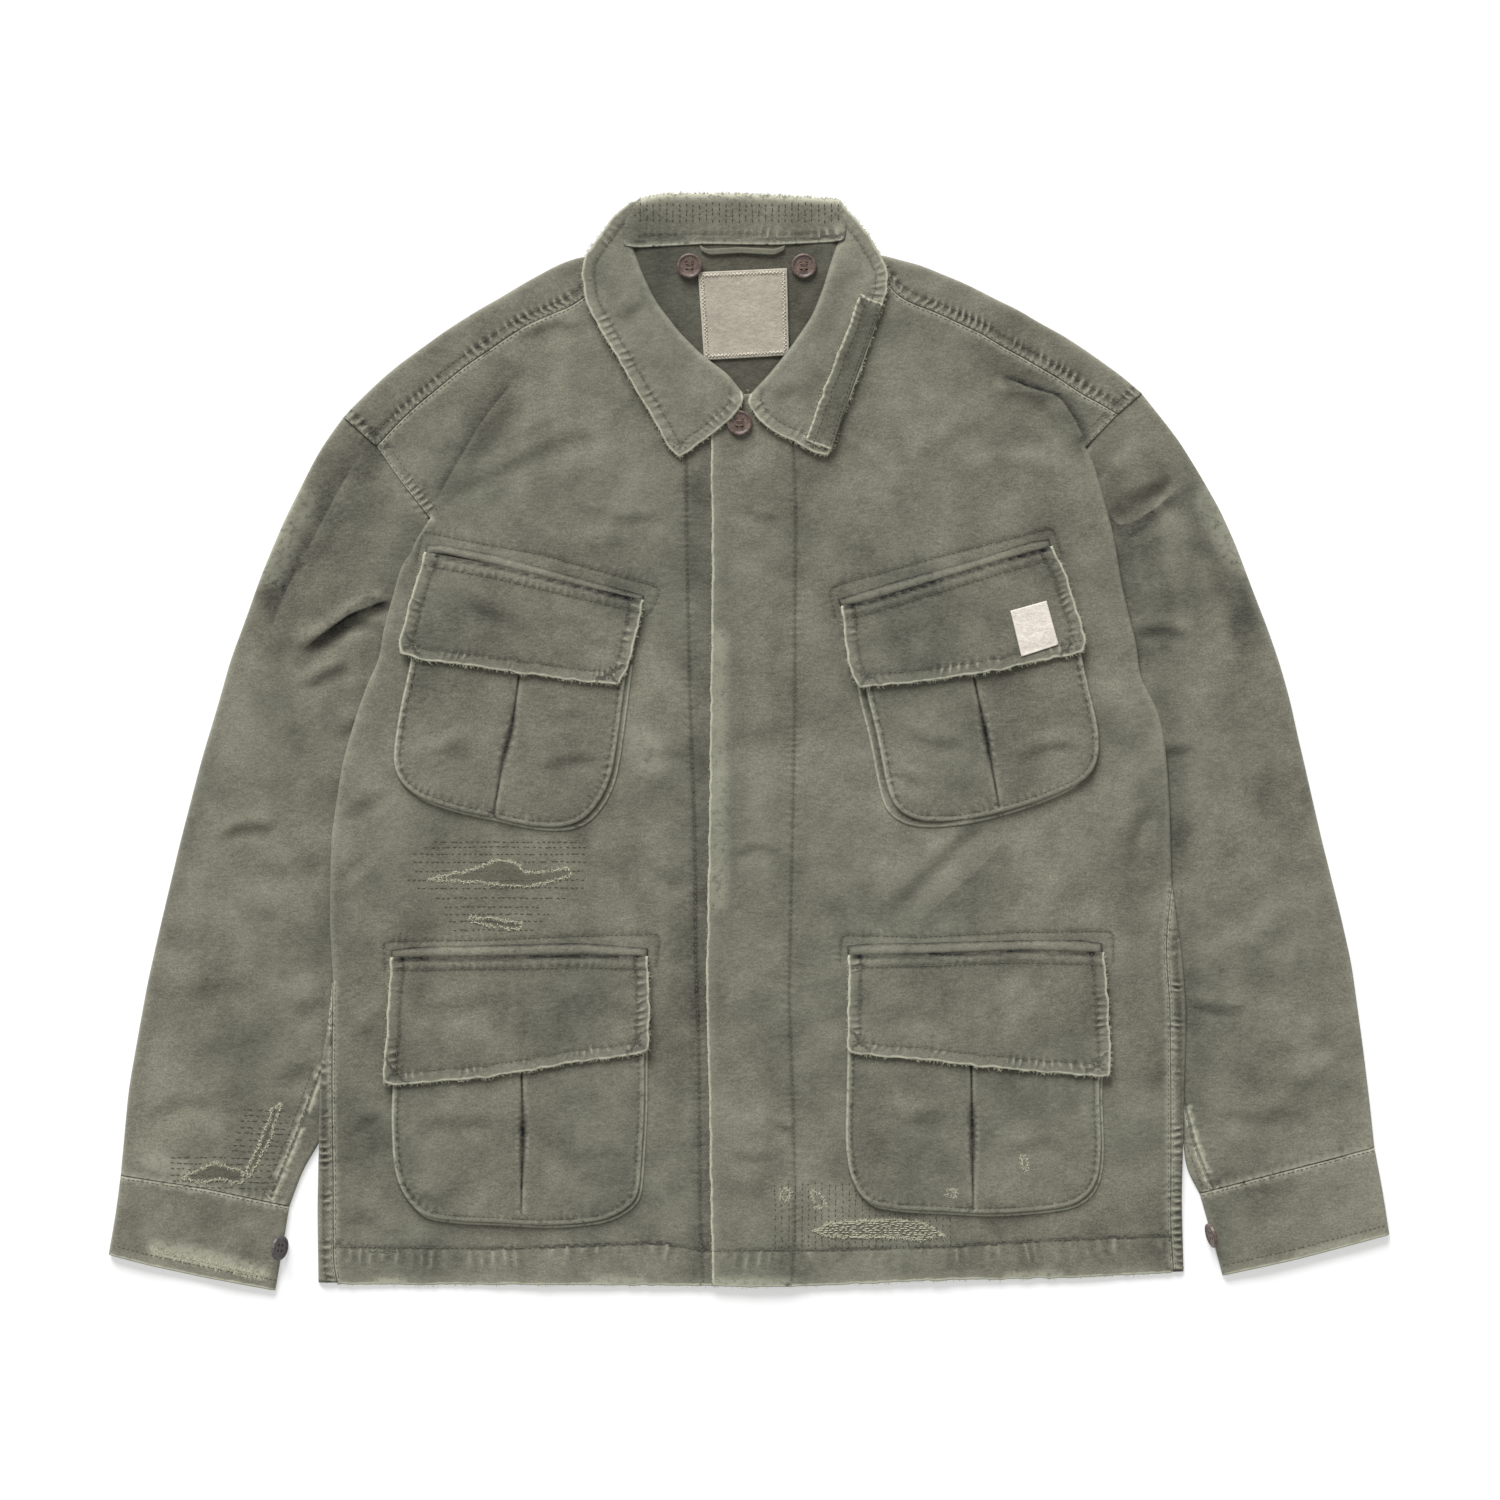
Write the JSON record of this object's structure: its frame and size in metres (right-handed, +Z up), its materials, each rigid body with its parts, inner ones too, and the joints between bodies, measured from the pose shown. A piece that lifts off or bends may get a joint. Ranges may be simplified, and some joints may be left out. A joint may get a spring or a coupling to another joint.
{
  "type": "field jacket",
  "caption": "Worn field jacket with collar, buttoned fly, patch pockets with flaps and buttoned cuffs, lying flat on its back with the front up",
  "frame": {"origin": "on the surface it lies on, under the middle of the jacket's outline", "axes": "+X towards the wearer's left sleeve, +Y from hem to collar, +Z up from the surface through the front"},
  "size_m": [0.897, 0.768, 0.0181],
  "materials": {
    "body_cloth": "faded olive cotton twill, worn light at edges",
    "button": "brown, slightly glossy",
    "neck_label": "bare beige woven label",
    "chest_label": "bare off-white woven label"
  },
  "bodies": {
    "root": {"back_panel": "body_cloth", "front_panel_right": "body_cloth", "front_panel_left": "body_cloth", "sleeve_right": "body_cloth", "sleeve_left": "body_cloth", "cuff_right": "body_cloth", "cuff_left": "body_cloth", "collar": "body_cloth", "pocket_chest_right": "body_cloth", "flap_chest_right": "body_cloth", "welt_chest_right": "body_cloth", "pocket_chest_left": "body_cloth", "flap_chest_left": "body_cloth", "welt_chest_left": "body_cloth", "pocket_lower_right": "body_cloth", "flap_lower_right": "body_cloth", "welt_lower_right": "body_cloth", "pocket_lower_left": "body_cloth", "flap_lower_left": "body_cloth", "welt_lower_left": "body_cloth", "neck_label": "neck_label", "hanger_loop": "body_cloth", "chest_label": "chest_label", "collar_tape": "body_cloth", "collar_button": "button", "neck_button_right": "button", "neck_button_left": "button", "cuff_button_right": "button", "cuff_button_left": "button"}
  },
  "joints": []
}
